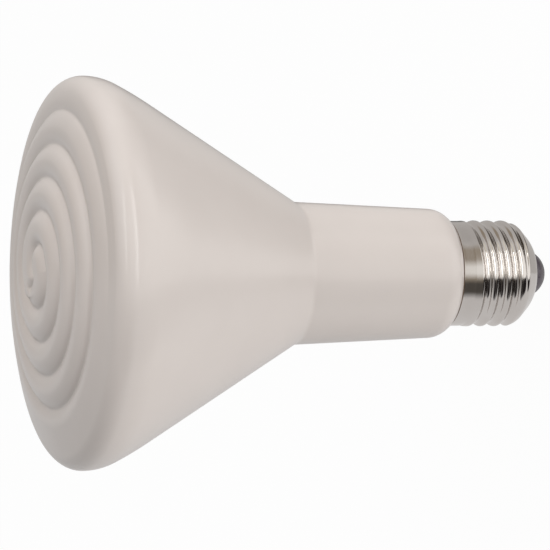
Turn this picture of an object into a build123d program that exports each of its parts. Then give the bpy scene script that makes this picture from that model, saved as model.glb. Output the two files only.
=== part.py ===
from build123d import *
import os
from math import asin, ceil, cos, radians, sin, sqrt, tan

os.makedirs("parts", exist_ok=True)

# Ceramic heat emitter on an E27 screw cap, in millimetres.
# The axis is Z and the tip of the centre contact is the origin.
# The cap is below and the spiral face looks along +Z.
# A bearing is measured clockwise from +Y, seen from the front, which is from +Z.

# Driving dimensions of the casting, from the cap upwards
shoulder_height = 4.85
shoulder_radius = 6.2
neck_length = 35.4
neck_top_radius = 17.5
neck_taper_deg = 2.45
cone_half_angle_deg = 31.3
waist_fillet = 3.0
flank_radius = 100.0
rim_dia = 95.0
rim_back_radius = 13.8
rim_back_deg = 26.0
rim_front_radius = 5.15
dome_radius = 132.0

# Spigot that carries the cap
spigot_radius = 11.2
spigot_clearance = 2.9
spigot_chamfer = 0.6

# Spiral groove in the face: one arm, growing clockwise
spiral_pitch = 8.1
spiral_phase_radius = -1.0
spiral_depth = 1.3
crest_strip = 1.1
spiral_start_deg = 130.0
spiral_fade_start_radius = 38.0
spiral_end_radius = 42.0
spiral_inner_gap = 0.35
spiral_section_deg = 28

# Screw shell: thin sheet with a rolled E27 knuckle thread
shell_height = 26.2
shell_radius = 13.15
shell_wall = 0.35
band_height = 3.3
band_radius = 13.0
end_cone_deg = 46.5
end_cone_height = 9.22
end_cone_fillet = 4.45
end_dome_edge_radius = 9.8
end_dome_radius = 9.7
end_hole_radius = 5.9
thread_pitch = 3.629
thread_arc = 1.025
thread_crest_z = 15.05
thread_bottom_z = 9.1
thread_fade = 2.2
thread_crest_strip = 0.4
thread_section_deg = 24

# End insulator and centre contact
tip_radius = 6.7
contact_flat_radius = 1.2
contact_radius = 3.4
contact_thickness = 1.2
shank_radius = 1.4
shank_head_height = 0.8
insulator_top_z = 6.4
button_gap = 0.1

# Cement ring
cement_short = 0.7
cement_collar = 0.9

# Fits
joint_gap = 0.15
fit_gap = 0.08

# Places that follow from the sizes above
seat_z = shell_height + joint_gap
thread_depth = 2 * thread_arc - sqrt(4 * thread_arc**2 - thread_pitch**2 / 4)
thread_inner_radius = shell_radius - thread_depth - shell_wall
thread_end_z = shell_height - band_height
thread_top_z = thread_end_z - thread_fade
spigot_z = end_cone_height + spigot_clearance
neck_bottom_z = seat_z + shoulder_height
neck_top_z = neck_bottom_z + neck_length
taper = radians(neck_taper_deg)
cone = radians(cone_half_angle_deg)
rim_back = radians(rim_back_deg)
neck_bottom_radius = neck_top_radius - neck_length * tan(taper)
rim_radius = rim_dia / 2
back_centre_radius = rim_radius - rim_back_radius
flank_centre_radius = back_centre_radius - (flank_radius - rim_back_radius) * cos(rim_back)
cone_end_radius = flank_centre_radius + flank_radius * cos(cone)
cone_end_z = neck_top_z + (cone_end_radius - neck_top_radius) / tan(cone)
flank_centre_z = cone_end_z + flank_radius * sin(cone)
rim_z = flank_centre_z - (flank_radius - rim_back_radius) * sin(rim_back)
front_centre_radius = rim_radius - rim_front_radius
dome_centre_z = rim_z - sqrt((dome_radius - rim_front_radius) ** 2 - front_centre_radius**2)
face_z = dome_centre_z + dome_radius
end_cone = radians(end_cone_deg)
end_dome_edge_z = end_cone_height - (shell_radius - end_dome_edge_radius) / tan(end_cone)
end_dome_centre_radius = end_dome_edge_radius - end_dome_radius * cos(end_cone)
end_dome_centre_z = end_dome_edge_z + end_dome_radius * sin(end_cone)


def rz(radius, height):
    """A point of a turned outline."""
    return Vector(radius, 0, height)


def rz_arc(centre, radius, first, last):
    """Arc of a turned outline about a centre, between two angles measured from the radial direction."""
    ends = [centre + rz(radius * cos(turn), radius * sin(turn)) for turn in (first, (first + last) / 2, last)]
    return ThreePointArc(*ends)


def revolved(*lines):
    """Turn a closed outline in the XZ plane about the axis."""
    edges = [edge for line in lines for edge in line.edges()]
    return Solid.revolve(make_face(edges).face(), 360, Axis.Z)


def dome_z(radius):
    """Height of the smooth dome at a radius."""
    return dome_centre_z + sqrt(dome_radius**2 - radius**2)


def casting_outside():
    """Spigot, shoulder, neck, cone with its slight swell, rim and smooth dome as one turned solid."""
    quarter = radians(90)
    shoulder_centre = rz(neck_bottom_radius, neck_bottom_z) - rz(cos(taper), -sin(taper)) * shoulder_radius
    sink = asin((shoulder_centre.Z - seat_z) / shoulder_radius)
    front_turn = quarter - asin(front_centre_radius / (dome_radius - rim_front_radius))
    shoulder = rz_arc(shoulder_centre, shoulder_radius, -sink, -taper)
    flank = rz_arc(rz(flank_centre_radius, flank_centre_z), flank_radius, -cone, -rim_back)
    back = rz_arc(rz(back_centre_radius, rim_z), rim_back_radius, -rim_back, 0)
    front = rz_arc(rz(front_centre_radius, rim_z), rim_front_radius, 0, front_turn)
    dome = rz_arc(rz(0, dome_centre_z), dome_radius, front_turn, quarter)
    lower = Polyline(
        rz(0, face_z),
        rz(0, spigot_z),
        rz(spigot_radius - spigot_chamfer, spigot_z),
        rz(spigot_radius, spigot_z + spigot_chamfer),
        rz(spigot_radius, seat_z),
        shoulder @ 0,
    )
    sides = Polyline(shoulder @ 1, rz(neck_top_radius, neck_top_z), flank @ 0)
    solid = revolved(lower, shoulder, sides, flank, back, front, dome)
    circles = solid.edges().filter_by(GeomType.CIRCLE)
    waist = circles.sort_by_distance(rz(neck_top_radius, neck_top_z))[0]
    return solid.fillet(waist_fillet, [waist])


def on_dome(radius, bearing_deg):
    """A point of the dome at a radius and a bearing."""
    bearing = radians(bearing_deg)
    return Vector(radius * sin(bearing), radius * cos(bearing), dome_z(radius))


def spiral_radius(bearing_deg):
    """Radius of the groove's line at a running bearing."""
    return spiral_phase_radius + spiral_pitch * bearing_deg / 360


def groove_section(bearing_deg):
    """Cusp between two round ridges, square to the dome and to the groove's run."""
    radius = spiral_radius(bearing_deg)
    ridge_arc = (spiral_pitch**2 / 4 + spiral_depth**2) / (2 * spiral_depth)
    reach = (spiral_pitch - crest_strip) / 2
    edge_drop = ridge_arc - sqrt(ridge_arc**2 - (crest_strip / 2) ** 2)
    mid_drop = ridge_arc - sqrt(ridge_arc**2 - (spiral_pitch / 4) ** 2)
    mid = spiral_pitch / 4
    narrow = min(1.0, (radius - spiral_inner_gap) / (reach + spiral_inner_gap))
    fade = (radius - spiral_fade_start_radius) / (spiral_end_radius - spiral_fade_start_radius)
    lift = spiral_depth * max(0.0, fade)
    place = on_dome(radius, bearing_deg)
    up = (place - Vector(0, 0, dome_centre_z)).normalized()
    ahead = on_dome(spiral_radius(bearing_deg + 1), bearing_deg + 1) - place
    along = (ahead - up * ahead.dot(up)).normalized()
    side = up.cross(along)

    def at(offset, height):
        return place + side * offset * narrow + up * (height + lift)

    outer = ThreePointArc(at(0, -spiral_depth), at(mid, -mid_drop), at(reach, -edge_drop))
    inner = ThreePointArc(at(-reach, -edge_drop), at(-mid, -mid_drop), at(0, -spiral_depth))
    above = Polyline(
        at(reach, -edge_drop),
        at(reach, spiral_depth),
        at(-reach, spiral_depth),
        at(-reach, -edge_drop),
    )
    return Wire([outer.edge(), *above.edges(), inner.edge()])


def spiral_groove():
    """The single-arm groove, narrow at the middle and fading out towards the rim."""
    end_deg = (spiral_end_radius - spiral_phase_radius) / spiral_pitch * 360
    steps = ceil((end_deg - spiral_start_deg) / spiral_section_deg)
    turn = (end_deg - spiral_start_deg) / steps
    return Solid.make_loft([groove_section(spiral_start_deg + turn * i) for i in range(steps + 1)])


def ceramic_body():
    """The whole casting, one solid piece with the groove in its face."""
    return casting_outside() - spiral_groove()


def turned_shell(inset, top_z):
    """The closed shell moved in by an inset, filled to the axis and cut off at a height."""
    band_corner = rz(band_radius - inset, thread_end_z + shell_radius - band_radius)
    wall_top = rz(shell_radius - inset, thread_end_z)
    end_dome = rz_arc(
        rz(end_dome_centre_radius, end_dome_centre_z), end_dome_radius - inset, radians(-90), -end_cone
    )
    edge = end_dome @ 1
    low = end_dome @ 0
    corner = rz(shell_radius - inset, edge.Z + (shell_radius - inset - edge.X) / tan(end_cone))
    over = shell_height + shell_wall
    sides = Polyline(
        edge,
        corner,
        wall_top,
        band_corner,
        rz(band_radius - inset, over),
        rz(0, over),
        rz(0, low.Z),
        low,
    )
    face = make_face([*sides.edges(), end_dome.edge()]).face()
    face = face.fillet_2d(end_cone_fillet - inset, [face.vertices().sort_by_distance(corner)[0]])
    return Solid.revolve(face, 360, Axis.Z) & upright_cylinder(2 * shell_radius, 0, top_z)


def thread_section(bearing_deg):
    """Knuckle groove between two crests, in a plane through the axis."""
    z = thread_crest_z + thread_pitch / 2 - thread_pitch * bearing_deg / 360
    past_end = max(z - thread_top_z, thread_bottom_z - z, 0)
    lift = thread_depth * past_end / thread_fade
    crest_away = thread_pitch / 2
    reach = (thread_pitch - thread_crest_strip) / 2
    crest_start = asin((crest_away - reach) / thread_arc)
    flank = asin(crest_away / (2 * thread_arc))
    bearing = radians(bearing_deg)

    def at(offset_z, height):
        radius = shell_radius + height + lift
        return Vector(radius * sin(bearing), radius * cos(bearing), z + offset_z)

    def on_crest(side, turn):
        return at(side * (crest_away - thread_arc * sin(turn)), thread_arc * (cos(turn) - 1))

    def on_root(side, turn):
        return at(side * thread_arc * sin(turn), thread_arc * (1 - cos(turn)) - thread_depth)

    crest_mid = (crest_start + flank) / 2
    upper = ThreePointArc(on_crest(1, crest_start), on_crest(1, crest_mid), on_crest(1, flank))
    root = ThreePointArc(on_root(1, flank), on_root(1, 0), on_root(-1, flank))
    lower = ThreePointArc(on_crest(-1, flank), on_crest(-1, crest_mid), on_crest(-1, crest_start))
    above = Polyline(
        on_crest(-1, crest_start),
        at(-reach, thread_depth),
        at(reach, thread_depth),
        on_crest(1, crest_start),
    )
    return Wire([upper.edge(), root.edge(), lower.edge(), *above.edges()])


def thread_groove():
    """The helical groove, right-handed, fading out at both ends."""
    root_z = thread_crest_z + thread_pitch / 2
    first = (root_z - thread_top_z - thread_fade) / thread_pitch * 360
    last = (root_z - thread_bottom_z + thread_fade) / thread_pitch * 360
    steps = ceil((last - first) / thread_section_deg)
    turn = (last - first) / steps
    return Solid.make_loft([thread_section(first + turn * i) for i in range(steps + 1)])


def upright_cylinder(radius, bottom_z, top_z):
    """A cylinder on the axis between two heights."""
    return Solid.make_cylinder(radius, top_z - bottom_z, Plane((0, 0, bottom_z)))


def screw_shell():
    """Rolled shell with a plain band, a thread, a rounded end cone and a hole in its domed end."""
    thread_low = thread_bottom_z - thread_fade
    root_wall = upright_cylinder(shell_radius, thread_low, thread_end_z)
    root_wall -= upright_cylinder(thread_inner_radius, thread_low, thread_end_z)
    inside = turned_shell(shell_wall, shell_height + shell_wall) - root_wall
    end_hole = upright_cylinder(end_hole_radius, 0, end_cone_height)
    blank = turned_shell(0, shell_height) - inside - end_hole
    return blank - thread_groove()


def tip_sphere():
    """The ball that the insulator and the contact share as their outer face."""
    centre_z = sqrt(tip_radius**2 - contact_flat_radius**2)
    return Solid.make_sphere(tip_radius, Plane((0, 0, centre_z)), angle1=-90, angle2=90)


def centre_contact():
    """Rivet with a low domed head, flat at its tip, and a shank through the insulator."""
    head = tip_sphere() & upright_cylinder(contact_radius, 0, contact_thickness)
    shank = upright_cylinder(shank_radius, contact_thickness, insulator_top_z + shank_head_height)
    return head.solid() + shank


def cap_insulator():
    """Glass button that fills the end cone and stands out through the hole."""
    plug = turned_shell(shell_wall + fit_gap, insulator_top_z)
    button = tip_sphere() & upright_cylinder(end_hole_radius - button_gap, 0, insulator_top_z)
    head_seat = upright_cylinder(contact_radius + fit_gap, -fit_gap, contact_thickness)
    shank_hole = upright_cylinder(shank_radius + fit_gap, 0, insulator_top_z + fit_gap)
    return plug + button.solid() - head_seat - shank_hole


def cap_cement():
    """Ring that bonds the shell to the spigot; its top edge shows as a line at the joint."""
    bottom_z = spigot_z + cement_short
    collar_radius = band_radius - shell_wall - fit_gap
    ring_radius = thread_inner_radius - fit_gap
    collar = upright_cylinder(collar_radius, seat_z - cement_collar, seat_z)
    ring = upright_cylinder(ring_radius, bottom_z, seat_z)
    return collar + ring - upright_cylinder(spigot_radius, bottom_z, seat_z)


parts = {
    "ceramic_body": ceramic_body(),
    "screw_shell": screw_shell(),
    "cap_insulator": cap_insulator(),
    "centre_contact": centre_contact(),
    "cap_cement": cap_cement(),
}

for name, shape in parts.items():
    solid = shape.solid()
    solid.label = name
    export_step(solid, f"parts/{name}.step")
    print(name, "volume", round(solid.volume), "valid", solid.is_valid, "solids", len(shape.solids()))
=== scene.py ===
import bmesh
import bpy
import numpy as np
from math import asin, atan2, ceil, cos, pi, radians, sin, sqrt, tan
from mathutils import Matrix, Vector


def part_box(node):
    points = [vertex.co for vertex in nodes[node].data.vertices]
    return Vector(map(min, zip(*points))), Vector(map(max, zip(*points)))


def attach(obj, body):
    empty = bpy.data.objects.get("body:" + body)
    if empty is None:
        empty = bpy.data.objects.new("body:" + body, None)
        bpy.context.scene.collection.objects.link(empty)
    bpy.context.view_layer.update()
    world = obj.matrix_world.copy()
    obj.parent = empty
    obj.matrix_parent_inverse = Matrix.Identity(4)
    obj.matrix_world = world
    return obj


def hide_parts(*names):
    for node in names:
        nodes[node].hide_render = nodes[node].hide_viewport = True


# Everything here is in metres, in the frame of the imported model: the axis is Z, the contact's tip is the
# origin and the spiral face looks along +Z. A bearing runs clockwise from +Y, seen from the front.
MM = 0.001

# The casting, from the cap upwards
SPIGOT_RADIUS = 11.2 * MM
SPIGOT_Z = 12.12 * MM
SPIGOT_CHAMFER = 0.6 * MM
SEAT_Z = 26.35 * MM
SHOULDER_HEIGHT = 4.85 * MM
SHOULDER_RADIUS = 6.2 * MM
NECK_LENGTH = 35.4 * MM
NECK_TOP_RADIUS = 17.5 * MM
NECK_TAPER = radians(2.45)
WAIST_RADIUS = 3.0 * MM
CONE = radians(31.3)
FLANK_RADIUS = 100.0 * MM
RIM_RADIUS = 47.5 * MM
RIM_BACK_RADIUS = 13.8 * MM
RIM_BACK_TURN = radians(26.0)
RIM_FRONT_RADIUS = 5.15 * MM
DOME_RADIUS = 132.0 * MM
BODY_SEGMENTS = 320

# The spiral groove. The hook's points are (x, y) in millimetres. The groove sets in over its first length
# and starts narrow and shallow: its half width grows by WIDTH_GROWTH of the way along it, and its share of
# the full depth by DEPTH_GROWTH for each millimetre.
SPIRAL_PITCH = 8.1 * MM
SPIRAL_PHASE = -1.0 * MM
SPIRAL_DEPTH = 1.6 * MM
SPIRAL_SQUEEZE = 3.4 * MM
SQUEEZE_TURN = radians(225)
SPIRAL_START = radians(445)
SPIRAL_HOOK = [
    (-5.0, -3.8), (-3.0, -3.7), (-0.8, -2.8), (0.4, -1.0), (-0.8, 1.6),
    (-1.0, 4.0), (0.3, 6.3), (3.2, 6.9), (6.6, 5.0),
]
SPIRAL_FADE_START = 37.5 * MM
SPIRAL_END = 43.0 * MM
COIL_POINTS = 400
STEPS_PER_POINT = 14
FIRST_HALF_WIDTH = 2.5 * MM
WIDTH_GROWTH = 0.05
FIRST_LENGTH = 2.5 * MM
FIRST_DEPTH = 0.6
DEPTH_GROWTH = 0.02
GROOVE_FLOOR = 0.22 * MM
CREST_RISE = 0.985
FACE_STEP = 0.3 * MM
POINTS_AT_ONCE = 600

# The screw shell
SHELL_HEIGHT = 26.2 * MM
SHELL_RADIUS = 13.15 * MM
SHELL_WALL = 0.35 * MM
SHELL_EDGE = 0.06 * MM
BEAD_GAP = 0.005 * MM
BEAD_WIDTH = 0.34 * MM
BAND_HEIGHT = 3.3 * MM
BAND_RADIUS = 13.0 * MM
END_CONE = radians(46.5)
END_CONE_HEIGHT = 9.22 * MM
END_CONE_FILLET = 4.45 * MM
END_DOME_EDGE = 9.8 * MM
END_DOME_RADIUS = 9.7 * MM
END_HOLE = 5.9 * MM
THREAD_PITCH = 3.629 * MM
THREAD_ARC = 1.025 * MM
THREAD_DEPTH = 2 * THREAD_ARC - sqrt(4 * THREAD_ARC**2 - THREAD_PITCH**2 / 4)
THREAD_CREST_Z = 15.05 * MM
THREAD_FADE = 2.2 * MM
THREAD_END = SHELL_HEIGHT - BAND_HEIGHT
THREAD_TOP = THREAD_END - THREAD_FADE
THREAD_BOTTOM = 9.1 * MM
THREAD_RINGS = 150
STEP_RINGS = 24
SHELL_SEGMENTS = 192

# The end insulator and the contact
TIP_RADIUS = 6.1 * MM
CONTACT_FLAT = 1.2 * MM
CONTACT_RADIUS = 3.4 * MM
CONTACT_THICKNESS = 1.2 * MM
CONTACT_EDGE = 0.12 * MM
FLAT_STEPS = 3
HEAD_STEPS = 8
SHANK_RADIUS = 1.4 * MM
SHANK_TOP = 7.2 * MM
INSULATOR_TOP = 6.4 * MM
BUTTON_RADIUS = 5.8 * MM
SEAT_EDGE = 0.1 * MM
FIT_GAP = 0.08 * MM
TIP_SEGMENTS = 96

# The camera of the photograph: its frame is 550 pixels wide
FRAME_PX = 550
PX_PER_MM = 4.175
CAMERA_MM = 1016.0
CAMERA_TILT = radians(19.4)
APEX_PX = (30.3, 273.3)
SENSOR_MM = 36.0
NEAREST_SEEN = 0.05
FURTHEST_SEEN = 50

# The floor and the lamps. A lamp's place is how far it is towards the camera, up and to the right of its
# aim, which is on the axis.
FLOOR_SIZE = 6.0
FLOOR_SINK = 0.5 * MM
FLOOR_GREY = 0.8
FLOOR_ROUGHNESS = 0.9
FLOOR_WHITE = 0.97
LAMP_AIM_Z = 0.09
MAIN_PLACE = (0.95, 0.42, 0.42)
MAIN_SIZE = (0.2, 1.1)
MAIN_WATTS = 2.5
FACE_PLACE = (0.79, 0.34, -0.48)
FACE_SIZE = (0.08, 0.7)
FACE_WATTS = 0.75

# The studio. Each list has stops of (angle, level or colour): the angle goes about the axis in degrees, from
# +X, the camera's side, upwards to +Y. The strength multiplies them all. CAP_LIGHT and FACE_LIGHT light the
# surfaces and the four sides are mirrored in them. A blend is the range of a direction's part along +Z in
# which one list passes into the next.
STUDIO_STRENGTH = 2.0
WARMTH = (1, 0.985, 0.97)
FRONT_BLEND = (-0.2, 0.5)
MIDDLE_BLEND = (-0.46, -0.38)
HIGH_BLEND = (-0.27, -0.17)
FACE_BLEND = (0.45, 0.65)
BLACK = (0.01, 0.009, 0.009)
DARK = (0.05, 0.045, 0.04)
WHITE = (0.62, 0.61, 0.595)
SOFT_WHITE = (0.47, 0.46, 0.44)
CREAM = (0.42, 0.4, 0.36)
WALL = (0.28, 0.272, 0.264)
PALE = (0.36, 0.353, 0.35)
BROWN = (0.17, 0.145, 0.115)
DARK_BROWN = (0.035, 0.029, 0.022)
SHADE = (0.17, 0.165, 0.16)
DEEP_SHADE = (0.15, 0.145, 0.14)
CAP_LIGHT = [
    (-180, 0.15), (-135, 0.17), (-100, 0.5), (-75, 0.78), (-50, 0.9), (-25, 0.88), (0, 0.42), (30, 0.22),
    (60, 0.5), (90, 0.72), (120, 0.56), (150, 0.3), (180, 0.15),
]
FACE_LIGHT = [
    (-180, 0.03), (-100, 0.02), (-25, 0.03), (0, 0.18), (30, 0.5), (60, 0.97), (90, 0.93), (120, 0.5),
    (150, 0.06), (180, 0.03),
]
FACE_SIDE = [
    (-180, PALE), (-62, PALE), (-50, SHADE), (-16, DEEP_SHADE), (-4, CREAM), (24, CREAM),
    (60, PALE), (92, PALE), (108, BROWN), (180, BROWN),
]
LOW_SIDE = [
    (-180, PALE), (-62, PALE), (-56, BLACK), (-14, BLACK), (-10, WHITE), (66, WHITE),
    (76, DARK_BROWN), (126, DARK_BROWN), (136, WALL), (180, WALL),
]
MIDDLE_SIDE = [
    (-180, PALE), (-56, PALE), (-42, DARK), (-22, DARK), (-12, BROWN), (0, SOFT_WHITE),
    (14, SOFT_WHITE), (30, BROWN), (52, BROWN), (66, WALL), (150, WALL), (168, BLACK), (180, BLACK),
]
HIGH_SIDE = [
    (-180, PALE), (-62, PALE), (-56, BLACK), (-16, BLACK), (-8, WHITE), (28, WHITE),
    (40, CREAM), (68, CREAM), (80, WALL), (180, WALL),
]

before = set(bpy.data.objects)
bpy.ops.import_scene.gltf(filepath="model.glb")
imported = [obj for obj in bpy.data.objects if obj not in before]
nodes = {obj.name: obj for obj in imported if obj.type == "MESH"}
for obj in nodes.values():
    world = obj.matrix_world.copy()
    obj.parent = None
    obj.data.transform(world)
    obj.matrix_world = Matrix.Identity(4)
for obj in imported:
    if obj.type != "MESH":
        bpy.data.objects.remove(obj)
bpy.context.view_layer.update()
face_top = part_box("ceramic_body")[1].z


def arc(centre, radius, start, end, count):
    """Points (radius from the axis, height) of an arc, by angles from the radial direction."""
    turns = np.linspace(start, end, count)
    return [(centre[0] + radius * cos(t), centre[1] + radius * sin(t)) for t in turns]


def line(a, b, count):
    """Evenly spaced points from a to b, without b."""
    return [(a[0] + (b[0] - a[0]) * i / count, a[1] + (b[1] - a[1]) * i / count) for i in range(count)]


def orient(obj):
    """Face normals outwards and smooth shading."""
    work = bmesh.new()
    work.from_mesh(obj.data)
    bmesh.ops.recalc_face_normals(work, faces=work.faces)
    work.to_mesh(obj.data)
    work.free()
    obj.data.polygons.foreach_set("use_smooth", [True] * len(obj.data.polygons))


def mesh_object(name, verts, faces, material, node=None):
    """A smooth-shaded mesh that rides on the body and may stand for a CAD node."""
    mesh = bpy.data.meshes.new(name)
    mesh.from_pydata([tuple(v) for v in verts], [], faces)
    mesh.update()
    obj = bpy.data.objects.new(name, mesh)
    bpy.context.scene.collection.objects.link(obj)
    mesh.materials.append(material)
    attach(obj, "root")
    if node:
        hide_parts(node)
    orient(obj)


def ring_faces(rings, segments, closed):
    """Quads between neighbouring rings of points; closed joins the last ring to the first."""
    faces = []
    last = rings if closed else rings - 1
    for i in range(last):
        a = i * segments
        b = (i + 1) % rings * segments
        for j in range(segments):
            k = (j + 1) % segments
            faces.append((a + j, a + k, b + k, b + j))
    return faces


def add_loop(name, rings, material, node=None):
    """A piece clear of the axis: its last ring of points is joined to its first."""
    faces = ring_faces(len(rings), rings.shape[1], True)
    mesh_object(name, rings.reshape(-1, 3), faces, material, node)


def add_capped(name, rings, end_heights, material, node):
    """A piece whose first and last rings are closed by points on the axis at the given heights."""
    segments = rings.shape[1]
    verts = list(rings.reshape(-1, 3))
    verts += [(0, 0, z) for z in end_heights]
    low_point = len(verts) - 2
    high_point = len(verts) - 1
    last = (len(rings) - 1) * segments
    faces = ring_faces(len(rings), segments, False)
    for j in range(segments):
        k = (j + 1) % segments
        faces.append((k, j, low_point))
        faces.append((last + j, last + k, high_point))
    mesh_object(name, verts, faces, material, node)


def turned(profile, segments):
    """Ring points of a profile turned about the axis, as an array (ring, segment, xyz)."""
    bearing = np.arange(segments) * 2 * pi / segments
    p = np.array(profile)
    out = np.zeros((len(p), segments, 3))
    out[:, :, 0] = p[:, :1] * np.sin(bearing)
    out[:, :, 1] = p[:, :1] * np.cos(bearing)
    out[:, :, 2] = p[:, 1:]
    return out


# Materials


def new_material(name):
    """A new node material, its node tree and its Principled shader."""
    material = bpy.data.materials.new(name)
    material.use_nodes = True
    tree = material.node_tree
    return material, tree, tree.nodes["Principled BSDF"]


def noise(tree, scale, detail=3.0, roughness=0.5):
    """Noise in object space."""
    place = tree.nodes.new("ShaderNodeTexCoord")
    node = tree.nodes.new("ShaderNodeTexNoise")
    node.inputs["Scale"].default_value = scale
    node.inputs["Detail"].default_value = detail
    node.inputs["Roughness"].default_value = roughness
    tree.links.new(place.outputs["Object"], node.inputs["Vector"])
    return node.outputs["Fac"]


def ramp(tree, value, stops):
    """Colours along a value."""
    node = tree.nodes.new("ShaderNodeValToRGB")
    # a new ramp already has two elements
    elements = node.color_ramp.elements
    for i, (at, colour) in enumerate(stops):
        element = elements[i] if i < 2 else elements.new(at)
        element.position = at
        element.color = (*colour, 1)
    tree.links.new(value, node.inputs["Fac"])
    return node.outputs["Color"]


def numbers(tree, value, low, high):
    """The value from 0..1 mapped to low..high."""
    node = tree.nodes.new("ShaderNodeMapRange")
    node.inputs["To Min"].default_value = low
    node.inputs["To Max"].default_value = high
    tree.links.new(value, node.inputs["Value"])
    return node.outputs["Result"]


def bump(tree, shader, height, distance, strength):
    """Relief of a height field on the shader's normal."""
    node = tree.nodes.new("ShaderNodeBump")
    node.inputs["Distance"].default_value = distance
    node.inputs["Strength"].default_value = strength
    tree.links.new(height, node.inputs["Height"])
    tree.links.new(node.outputs["Normal"], shader.inputs["Normal"])


def srgb(r, g, b):
    """A colour read as 0..255 in the picture, as the shader's own numbers."""
    out = []
    for c in (r, g, b):
        c = c / 255
        out.append(c / 12.92 if c <= 0.04045 else ((c + 0.055) / 1.055) ** 2.4)
    return tuple(out)


def glaze_material():
    """Warm grey-beige satin glaze with faint clouding."""
    material, tree, shader = new_material("glaze")
    cloud = noise(tree, scale=22.0, detail=4.0, roughness=0.55)
    colour = ramp(tree, cloud, [(0.3, srgb(211, 203, 198)), (0.72, srgb(218, 210, 205))])
    tree.links.new(colour, shader.inputs["Base Color"])
    gloss = numbers(tree, noise(tree, scale=60.0, detail=2.0), low=0.285, high=0.34)
    tree.links.new(gloss, shader.inputs["Roughness"])
    shader.inputs["Specular IOR Level"].default_value = 0.5
    shader.inputs["Coat Weight"].default_value = 0.4
    shader.inputs["Coat Roughness"].default_value = 0.16
    bump(tree, shader, noise(tree, scale=90.0, detail=1.0), distance=0.1 * MM, strength=0.03)
    return material


def nickel_material():
    """Bright nickel plate, slightly warm, with faint waviness from the rolling."""
    material, tree, shader = new_material("nickel")
    cloud = noise(tree, scale=120.0)
    tint = ramp(tree, cloud, [(0.3, srgb(207, 202, 198)), (0.7, srgb(215, 211, 208))])
    tree.links.new(tint, shader.inputs["Base Color"])
    shader.inputs["Metallic"].default_value = 1.0
    gloss = numbers(tree, noise(tree, scale=150.0, detail=2.0), low=0.1, high=0.14)
    tree.links.new(gloss, shader.inputs["Roughness"])
    bump(tree, shader, noise(tree, scale=120.0, detail=1.0), distance=0.1 * MM, strength=0.03)
    return material


def dark_glass_material():
    """Dark violet-grey insulating glass, smooth and glossy."""
    material, tree, shader = new_material("dark_glass")
    cloud = noise(tree, scale=500.0)
    tint = ramp(tree, cloud, [(0.3, srgb(84, 77, 84)), (0.7, srgb(97, 90, 97))])
    tree.links.new(tint, shader.inputs["Base Color"])
    gloss = numbers(tree, noise(tree, scale=300.0), low=0.22, high=0.34)
    tree.links.new(gloss, shader.inputs["Roughness"])
    bump(tree, shader, noise(tree, scale=900.0), distance=0.1 * MM, strength=0.1)
    return material


def contact_material():
    """Dulled dark metal of the contact, with fine scuffs."""
    material, tree, shader = new_material("contact_metal")
    cloud = noise(tree, scale=700.0, detail=4.0)
    tint = ramp(tree, cloud, [(0.3, srgb(104, 97, 100)), (0.7, srgb(124, 116, 118))])
    tree.links.new(tint, shader.inputs["Base Color"])
    shader.inputs["Metallic"].default_value = 0.8
    gloss = numbers(tree, noise(tree, scale=600.0, detail=4.0), low=0.28, high=0.45)
    tree.links.new(gloss, shader.inputs["Roughness"])
    bump(tree, shader, noise(tree, scale=1500.0), distance=0.1 * MM, strength=0.15)
    return material


def cement_material():
    """Brown porous cap cement."""
    material, tree, shader = new_material("cement")
    cloud = noise(tree, scale=900.0, detail=5.0, roughness=0.7)
    tint = ramp(tree, cloud, [(0.25, srgb(74, 56, 42)), (0.75, srgb(112, 88, 67))])
    tree.links.new(tint, shader.inputs["Base Color"])
    gloss = numbers(tree, noise(tree, scale=500.0), low=0.8, high=0.95)
    tree.links.new(gloss, shader.inputs["Roughness"])
    pores = noise(tree, scale=1800.0, detail=5.0, roughness=0.7)
    bump(tree, shader, pores, distance=0.2 * MM, strength=0.5)
    return material


# The casting


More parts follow.
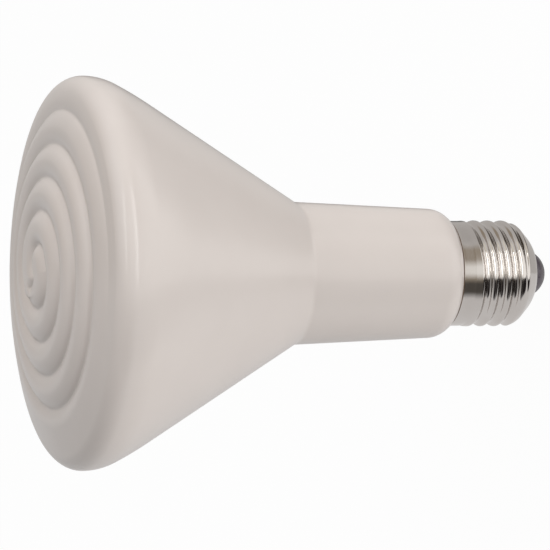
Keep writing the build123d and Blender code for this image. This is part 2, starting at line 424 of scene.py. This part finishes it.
def casting_profile():
    """Points from the spigot's foot to the dome's edge, the dome's centre height and its edge's radius."""
    neck_bottom_z = SEAT_Z + SHOULDER_HEIGHT
    neck_top_z = neck_bottom_z + NECK_LENGTH
    neck_bottom = NECK_TOP_RADIUS - NECK_LENGTH * tan(NECK_TAPER)
    back = RIM_RADIUS - RIM_BACK_RADIUS
    flank = back - (FLANK_RADIUS - RIM_BACK_RADIUS) * cos(RIM_BACK_TURN)
    end = flank + FLANK_RADIUS * cos(CONE)
    cone_end = (end, neck_top_z + (end - NECK_TOP_RADIUS) / tan(CONE))
    flank_z = cone_end[1] + FLANK_RADIUS * sin(CONE)
    rim_z = flank_z - (FLANK_RADIUS - RIM_BACK_RADIUS) * sin(RIM_BACK_TURN)
    front = RIM_RADIUS - RIM_FRONT_RADIUS
    dome_centre = rim_z - sqrt((DOME_RADIUS - RIM_FRONT_RADIUS) ** 2 - front**2)
    shoulder = (
        neck_bottom - SHOULDER_RADIUS * cos(NECK_TAPER),
        neck_bottom_z + SHOULDER_RADIUS * sin(NECK_TAPER),
    )
    sink = asin((shoulder[1] - SEAT_Z) / SHOULDER_RADIUS)
    seat_radius = shoulder[0] + SHOULDER_RADIUS * cos(sink)
    points = [(SPIGOT_RADIUS - SPIGOT_CHAMFER, SPIGOT_Z)]
    points += line((SPIGOT_RADIUS, SPIGOT_Z + SPIGOT_CHAMFER), (SPIGOT_RADIUS, SEAT_Z), 3)
    points += line((SPIGOT_RADIUS, SEAT_Z), (seat_radius, SEAT_Z), 2)
    points += arc(shoulder, SHOULDER_RADIUS, -sink, -NECK_TAPER, 16)
    # the waist is a concave arc tangent to the neck and the cone
    turn = CONE - NECK_TAPER
    reach = WAIST_RADIUS * tan(turn / 2)
    low = (NECK_TOP_RADIUS - reach * sin(NECK_TAPER), neck_top_z - reach * cos(NECK_TAPER))
    centre = (low[0] + WAIST_RADIUS * cos(NECK_TAPER), low[1] - WAIST_RADIUS * sin(NECK_TAPER))
    waist = arc(centre, WAIST_RADIUS, pi - NECK_TAPER, pi - CONE, 9)
    points += line((neck_bottom, neck_bottom_z), low, 12)[1:]
    points += waist
    points += line(waist[-1], cone_end, 22)[1:]
    points += arc((flank, flank_z), FLANK_RADIUS, -CONE, -RIM_BACK_TURN, 10)
    points += arc((back, rim_z), RIM_BACK_RADIUS, -RIM_BACK_TURN, 0.0, 16)[1:]
    lean = atan2(rim_z - dome_centre, front)
    points += arc((front, rim_z), RIM_FRONT_RADIUS, 0.0, lean, 14)[1:]
    edge = DOME_RADIUS * front / (DOME_RADIUS - RIM_FRONT_RADIUS)
    return points, dome_centre, edge


def spiral_line():
    """Points of the groove's line seen from the front, with the groove's half width and depth at each."""
    end = (SPIRAL_END - SPIRAL_PHASE) / SPIRAL_PITCH * 2 * pi
    turn = np.linspace(SPIRAL_START, end, COIL_POINTS)
    own = SPIRAL_PHASE + SPIRAL_PITCH * turn / (2 * pi)
    # the spiral is drawn in a little at the lower far side and starts in a hook across the middle
    radius = own - SPIRAL_SQUEEZE * ((1 + np.cos(turn - SQUEEZE_TURN)) / 2) ** 2
    knots = np.array(SPIRAL_HOOK) * MM
    coil = np.stack([radius * np.sin(turn), radius * np.cos(turn)], 1)
    path = np.concatenate([knots, coil])
    level = np.concatenate([np.full(len(knots), own[0]), own])
    # a smooth curve through the points, with even steps between each two
    a, b, c, d = path[:-3, None], path[1:-2, None], path[2:-1, None], path[3:, None]
    t = np.linspace(0, 1, STEPS_PER_POINT, endpoint=False)[None, :, None]
    bend = 2 * b + (c - a) * t + (2 * a - 5 * b + 4 * c - d) * t**2 + (3 * b - a - 3 * c + d) * t**3
    points = (bend / 2).reshape(-1, 2)
    share = t[:, :, 0]
    level = (level[1:-2, None] * (1 - share) + level[2:-1, None] * share).reshape(-1)
    along = np.concatenate([[0], np.cumsum(np.hypot(*np.diff(points, axis=0).T))])
    half = np.clip(FIRST_HALF_WIDTH + WIDTH_GROWTH * along, 0, SPIRAL_PITCH / 2)
    start = np.clip(along / FIRST_LENGTH, 0, 1)
    fade = np.clip((SPIRAL_END - level) / (SPIRAL_END - SPIRAL_FADE_START), 0, 1)
    growth = np.clip(FIRST_DEPTH + DEPTH_GROWTH * along / MM, 0, 1)
    depth = SPIRAL_DEPTH * growth * np.sqrt(start * (2 - start))
    return points[:, 0], points[:, 1], half, depth * fade * fade * (3 - 2 * fade)


def groove_drop(x, y):
    """How far the face lies below its ridges' crests at points seen from the front."""
    sx, sy, half, depth = spiral_line()
    out = np.zeros(len(x))
    for start in range(0, len(x), POINTS_AT_ONCE):
        cut = slice(start, start + POINTS_AT_ONCE)
        away = np.hypot(x[cut, None] - sx, y[cut, None] - sy)
        near = away.argmin(1)
        distance = away[np.arange(len(near)), near]
        width = half[near]
        # round ridges meet in a narrow valley whose floor is barely rounded; their section is the mean of
        # a parabola and a circle
        soft = np.sqrt(distance**2 + GROOVE_FLOOR**2) - GROOVE_FLOOR
        rise = np.clip(1 - soft / width, 0, CREST_RISE)
        out[cut] = depth[near] * (0.5 * rise**2 + 0.5 * (1 - np.sqrt(1 - rise**2)))
    return out


def face_rings(dome_centre, edge):
    """Ring points of the spiral face, from its edge inwards, without the middle."""
    count = ceil(edge / FACE_STEP)
    radii = edge * (1 - (np.arange(count) + 1) / count)[:-1]
    dome = turned([(r, dome_centre + sqrt(DOME_RADIUS**2 - r * r)) for r in radii], BODY_SEGMENTS)
    flat = dome.reshape(-1, 3)
    drop = groove_drop(flat[:, 0], flat[:, 1])
    up = flat - np.array([0, 0, dome_centre])
    up /= np.linalg.norm(up, axis=1)[:, None]
    return (flat - up * drop[:, None]).reshape(dome.shape)


def build_casting(material):
    """The casting as one closed mesh."""
    outside, dome_centre, edge = casting_profile()
    rings = np.concatenate([turned(outside, BODY_SEGMENTS), face_rings(dome_centre, edge)])
    middle_drop = groove_drop(np.array([0.0]), np.array([0.0]))[0]
    end_heights = (SPIGOT_Z, dome_centre + DOME_RADIUS - middle_drop)
    add_capped("casting", rings, end_heights, material, "ceramic_body")


# The cap


def knuckle(away, inset):
    """Offset of the rolled thread from its crest, 0 or less, at a distance along the axis from a crest."""
    crest_arc = THREAD_ARC - inset
    root_arc = THREAD_ARC + inset
    half = THREAD_PITCH / 2
    join = half * crest_arc / (crest_arc + root_arc)
    away = np.abs((away + half) % THREAD_PITCH - half)
    on_crest = np.sqrt(np.maximum(crest_arc**2 - np.minimum(away, join) ** 2, 0)) - crest_arc
    on_root = root_arc - THREAD_DEPTH - np.sqrt(root_arc**2 - (half - np.maximum(away, join)) ** 2)
    return np.where(away < join, on_crest, on_root)


def shell_line(inset):
    """Wall line of the shell from the end's hole to the rim, moved in by an inset."""
    edge_z = END_CONE_HEIGHT - (SHELL_RADIUS - END_DOME_EDGE) / tan(END_CONE)
    dome = (END_DOME_EDGE - END_DOME_RADIUS * cos(END_CONE), edge_z + END_DOME_RADIUS * sin(END_CONE))
    dome_radius = END_DOME_RADIUS - inset
    start = asin((END_HOLE - dome[0]) / dome_radius) - pi / 2
    wall_low = END_CONE_HEIGHT + END_CONE_FILLET * tan(END_CONE / 2)
    end_dome = arc(dome, dome_radius, start, -END_CONE, 14)
    end_arc = arc((SHELL_RADIUS - END_CONE_FILLET, wall_low), END_CONE_FILLET - inset, -END_CONE, 0, 18)
    wall = SHELL_RADIUS - inset
    band = BAND_RADIUS - inset
    points = end_dome + line(end_dome[-1], end_arc[0], 6)[1:] + end_arc
    points += line((wall, wall_low), (wall, THREAD_TOP), THREAD_RINGS)[1:]
    points += line((wall, THREAD_TOP), (band, THREAD_END), STEP_RINGS)
    points += line((band, THREAD_END), (band, SHELL_HEIGHT - SHELL_WALL), 6)
    return points


def shell_rings(inset):
    """Ring points of one side of the sheet, with the helical groove pushed in."""
    rings = turned(shell_line(inset), SHELL_SEGMENTS)
    bearing = np.arange(SHELL_SEGMENTS) * 2 * pi / SHELL_SEGMENTS
    z = rings[:, :, 2]
    radius = np.hypot(rings[:, :, 0], rings[:, :, 1])
    # the ring's own height decides its place on the thread, so the flanks stay where they are
    from_crest = z - THREAD_CREST_Z + THREAD_PITCH * bearing / (2 * pi)
    root_z = z - (from_crest % THREAD_PITCH - THREAD_PITCH / 2)
    past = np.maximum(np.maximum(root_z - THREAD_TOP, THREAD_BOTTOM - root_z), 0)
    lift = THREAD_DEPTH * past / THREAD_FADE
    cut = SHELL_RADIUS - inset + knuckle(from_crest, inset) + lift
    scale = np.minimum(radius, cut) / radius
    rings[:, :, 0] *= scale
    rings[:, :, 1] *= scale
    return rings


def build_shell(material):
    """The rolled sheet as one closed mesh with rounded edges."""
    outer = shell_rings(0.0)
    inner = shell_rings(SHELL_WALL)[::-1]
    edge = SHELL_EDGE
    rim = arc((BAND_RADIUS - edge, SHELL_HEIGHT - edge), edge, 0.0, pi / 2, 5)
    rim += arc((BAND_RADIUS - SHELL_WALL + edge, SHELL_HEIGHT - edge), edge, pi / 2, pi, 5)
    hole_z = (outer[0, 0, 2] + inner[-1, 0, 2]) / 2
    lip = arc((END_HOLE, hole_z), SHELL_WALL / 4, pi / 2, pi * 1.5, 7)[1:-1]
    rings = np.concatenate([outer, turned(rim, SHELL_SEGMENTS), inner, turned(lip, SHELL_SEGMENTS)])
    add_loop("shell_sheet", rings, material, "screw_shell")


def tip_z(radius):
    """Height of the tip's ball at a radius."""
    return sqrt(TIP_RADIUS**2 - CONTACT_FLAT**2) - sqrt(TIP_RADIUS**2 - radius**2)


def build_contact(material):
    """The rivet: flat tip, domed head with a rounded edge, shank."""
    profile = [(CONTACT_FLAT * i / FLAT_STEPS, 0) for i in range(1, FLAT_STEPS + 1)]
    for i in range(1, HEAD_STEPS + 1):
        radius = CONTACT_FLAT + (CONTACT_RADIUS - CONTACT_EDGE - CONTACT_FLAT) * i / HEAD_STEPS
        profile.append((radius, tip_z(radius)))
    rim_z = tip_z(CONTACT_RADIUS - CONTACT_EDGE) + CONTACT_EDGE
    profile += [(CONTACT_RADIUS, rim_z), (CONTACT_RADIUS, CONTACT_THICKNESS)]
    profile += [(SHANK_RADIUS, CONTACT_THICKNESS), (SHANK_RADIUS, SHANK_TOP)]
    rings = turned(profile, TIP_SEGMENTS)
    add_capped("contact_rivet", rings, (0, SHANK_TOP), material, "centre_contact")


def build_insulator(material):
    """The glass button with the rivet's seat, filling the end cone."""
    seat = CONTACT_RADIUS + FIT_GAP
    bore = SHANK_RADIUS + FIT_GAP
    plug = [p for p in shell_line(SHELL_WALL + FIT_GAP) if p[1] < INSULATOR_TOP - FIT_GAP]
    profile = [(seat, CONTACT_THICKNESS), (seat, tip_z(seat + SEAT_EDGE) + SEAT_EDGE)]
    profile += [(r, tip_z(r)) for r in np.linspace(seat + SEAT_EDGE, BUTTON_RADIUS, 9)]
    profile.append((BUTTON_RADIUS, plug[0][1]))
    profile += plug[1:]
    top = profile[-1][0] + (INSULATOR_TOP - profile[-1][1]) * tan(END_CONE)
    profile += [(top, INSULATOR_TOP), (bore, INSULATOR_TOP), (bore, CONTACT_THICKNESS)]
    add_loop("glass_button", turned(profile, TIP_SEGMENTS), material, "cap_insulator")


def build_bead(material):
    """The cement squeezed out between the casting's seat and the shell's rim."""
    low, high = SHELL_HEIGHT + BEAD_GAP, SEAT_Z - BEAD_GAP
    inside, outside = BAND_RADIUS - SHELL_WALL, BAND_RADIUS + 2 * BEAD_GAP
    smear = BEAD_WIDTH / 2
    bulge = arc((outside, high - smear), smear, -pi / 2, pi / 2, 9)
    profile = [(inside, low), (outside, low)] + bulge + [(inside, high)]
    add_loop("cement_bead", turned(profile, TIP_SEGMENTS), material)


# The stage: camera, floor, world and lamps


def camera_axes():
    """The photograph's right, up and towards-the-camera directions in this frame."""
    right = Vector((sin(CAMERA_TILT), 0, -cos(CAMERA_TILT)))
    up = Vector((0, 1, 0))
    toward = Vector((cos(CAMERA_TILT), 0, sin(CAMERA_TILT)))
    return right, up, toward


def build_camera():
    """The photograph's camera, placed from where the face's middle is in its frame."""
    right, up, toward = camera_axes()
    middle = FRAME_PX / 2
    apex = Vector((0, 0, face_top))
    place = apex - right * (APEX_PX[0] - middle) / PX_PER_MM * MM
    place += up * (APEX_PX[1] - middle) / PX_PER_MM * MM
    place += toward * CAMERA_MM * MM
    data = bpy.data.cameras.new("camera")
    data.sensor_width = SENSOR_MM
    data.lens = SENSOR_MM * PX_PER_MM * CAMERA_MM / FRAME_PX
    data.clip_start = NEAREST_SEEN
    data.clip_end = FURTHEST_SEEN
    obj = bpy.data.objects.new("camera", data)
    bpy.context.scene.collection.objects.link(obj)
    turn = Matrix((right, up, toward)).transposed()
    obj.matrix_world = Matrix.Translation(place) @ turn.to_4x4()
    bpy.context.scene.camera = obj


def light_path(tree, *kinds):
    """1 for rays of the named kinds, otherwise 0."""
    path = tree.nodes.new("ShaderNodeLightPath")
    total = path.outputs[kinds[0]]
    for kind in kinds[1:]:
        add = tree.nodes.new("ShaderNodeMath")
        add.operation = "MAXIMUM"
        tree.links.new(total, add.inputs[0])
        tree.links.new(path.outputs[kind], add.inputs[1])
        total = add.outputs[0]
    return total


def mix_shader(tree, share, first, second):
    """The second shader where the share is 1."""
    mix = tree.nodes.new("ShaderNodeMixShader")
    if isinstance(share, float):
        mix.inputs["Fac"].default_value = share
    else:
        tree.links.new(share, mix.inputs["Fac"])
    tree.links.new(first, mix.inputs[1])
    tree.links.new(second, mix.inputs[2])
    return mix.outputs["Shader"]


def build_floor():
    """Pale floor that reads white to the camera and keeps the shadow, but hides no part of the studio."""
    size = FLOOR_SIZE
    corners = [(-size, -size, 0), (size, -size, 0), (size, size, 0), (-size, size, 0)]
    mesh = bpy.data.meshes.new("floor")
    mesh.from_pydata(corners, [], [(0, 1, 2, 3)])
    floor = bpy.data.objects.new("floor", mesh)
    bpy.context.scene.collection.objects.link(floor)
    floor.location.z = -FLOOR_SINK
    material, tree, shader = new_material("floor")
    shader.inputs["Base Color"].default_value = (FLOOR_GREY, FLOOR_GREY, FLOOR_GREY, 1)
    shader.inputs["Roughness"].default_value = FLOOR_ROUGHNESS
    mesh.materials.append(material)
    white = tree.nodes.new("ShaderNodeEmission")
    clear = tree.nodes.new("ShaderNodeBsdfTransparent")
    seen = mix_shader(tree, FLOOR_WHITE, shader.outputs["BSDF"], white.outputs["Emission"])
    floor_look = mix_shader(tree, light_path(tree, "Is Camera Ray"), shader.outputs["BSDF"], seen)
    unseen = light_path(tree, "Is Glossy Ray", "Is Diffuse Ray")
    floor_look = mix_shader(tree, unseen, floor_look, clear.outputs["BSDF"])
    tree.links.new(floor_look, tree.nodes["Material Output"].inputs["Surface"])


def turn_ramp(tree, across, ahead, stops):
    """Colours by the angle of a direction about an axis: stops are (degrees from ahead, colour)."""
    angle = tree.nodes.new("ShaderNodeMath")
    angle.operation = "ARCTAN2"
    tree.links.new(across, angle.inputs[0])
    tree.links.new(ahead, angle.inputs[1])
    turn = tree.nodes.new("ShaderNodeMapRange")
    turn.inputs["From Min"].default_value = -pi
    turn.inputs["From Max"].default_value = pi
    tree.links.new(angle.outputs[0], turn.inputs["Value"])
    return ramp(tree, turn.outputs["Result"], [((deg + 180) / 360, colour) for deg, colour in stops])


def build_world():
    """Studio surroundings: soft boxes, black cards and grey walls in bands about the object's axis."""
    world = bpy.data.worlds.new("studio")
    bpy.context.scene.world = world
    world.use_nodes = True
    tree = world.node_tree
    place = tree.nodes.new("ShaderNodeTexCoord")

    def along(axis):
        """A direction's part along an axis."""
        node = tree.nodes.new("ShaderNodeVectorMath")
        node.operation = "DOT_PRODUCT"
        node.inputs[1].default_value = tuple(axis)
        tree.links.new(place.outputs["Generated"], node.inputs[0])
        return node.outputs["Value"]

    def background(colour, strength):
        """Light of a colour, white where none is given."""
        node = tree.nodes.new("ShaderNodeBackground")
        node.inputs["Strength"].default_value = strength
        if colour:
            tree.links.new(colour, node.inputs["Color"])
        else:
            node.inputs["Color"].default_value = (1, 1, 1, 1)
        return node.outputs["Background"]

    def between(blend):
        """0 below a blend's range and 1 above it."""
        node = tree.nodes.new("ShaderNodeMapRange")
        node.interpolation_type = "SMOOTHSTEP"
        node.inputs["From Min"].default_value = blend[0]
        node.inputs["From Max"].default_value = blend[1]
        tree.links.new(height, node.inputs["Value"])
        return node.outputs["Result"]

    def lit(stops):
        """Stops of warm light, from stops of its level."""
        return [(angle, tuple(level * part for part in WARMTH)) for angle, level in stops]

    def band(stops):
        """Light by its stops, all around the axis."""
        return background(turn_ramp(tree, across, ahead, stops), STUDIO_STRENGTH)

    height = along((0, 0, 1))
    ahead = along((1, 0, 0))
    across = along((0, 1, 0))
    room = mix_shader(tree, between(FRONT_BLEND), band(lit(CAP_LIGHT)), band(lit(FACE_LIGHT)))
    mirrored = band(LOW_SIDE)
    for blend, stops in ((MIDDLE_BLEND, MIDDLE_SIDE), (HIGH_BLEND, HIGH_SIDE), (FACE_BLEND, FACE_SIDE)):
        mirrored = mix_shader(tree, between(blend), mirrored, band(stops))
    look = mix_shader(tree, light_path(tree, "Is Glossy Ray"), room, mirrored)
    look = mix_shader(tree, light_path(tree, "Is Camera Ray"), look, background(None, 1.0))
    tree.links.new(look, tree.nodes["World Output"].inputs["Surface"])


def area_lamp(name, offset, size, watts):
    """A rectangular soft lamp, its height along the picture's up."""
    right, up, toward = camera_axes()
    aim = Vector((0, 0, LAMP_AIM_Z))
    place = aim + toward * offset[0] + up * offset[1] + right * offset[2]
    data = bpy.data.lights.new(name, "AREA")
    data.shape = "RECTANGLE"
    data.size, data.size_y = size
    data.energy = watts
    lamp = bpy.data.objects.new(name, data)
    bpy.context.scene.collection.objects.link(lamp)
    back = (place - aim).normalized()
    side = up.cross(back).normalized()
    turn = Matrix((side, back.cross(side), back)).transposed()
    lamp.matrix_world = Matrix.Translation(place) @ turn.to_4x4()


def build_lamps():
    """Two tall soft boxes: the main one beside the lens and a weaker one towards the face."""
    area_lamp("main", MAIN_PLACE, MAIN_SIZE, MAIN_WATTS)
    area_lamp("face", FACE_PLACE, FACE_SIZE, FACE_WATTS)


build_camera()
build_floor()
build_world()
build_lamps()
build_casting(glaze_material())
build_shell(nickel_material())
build_contact(contact_material())
build_insulator(dark_glass_material())
cement_look = cement_material()
build_bead(cement_look)
cement = nodes["cap_cement"]
cement.data.materials.clear()
cement.data.materials.append(cement_look)

bpy.context.scene.view_settings.view_transform = "Standard"
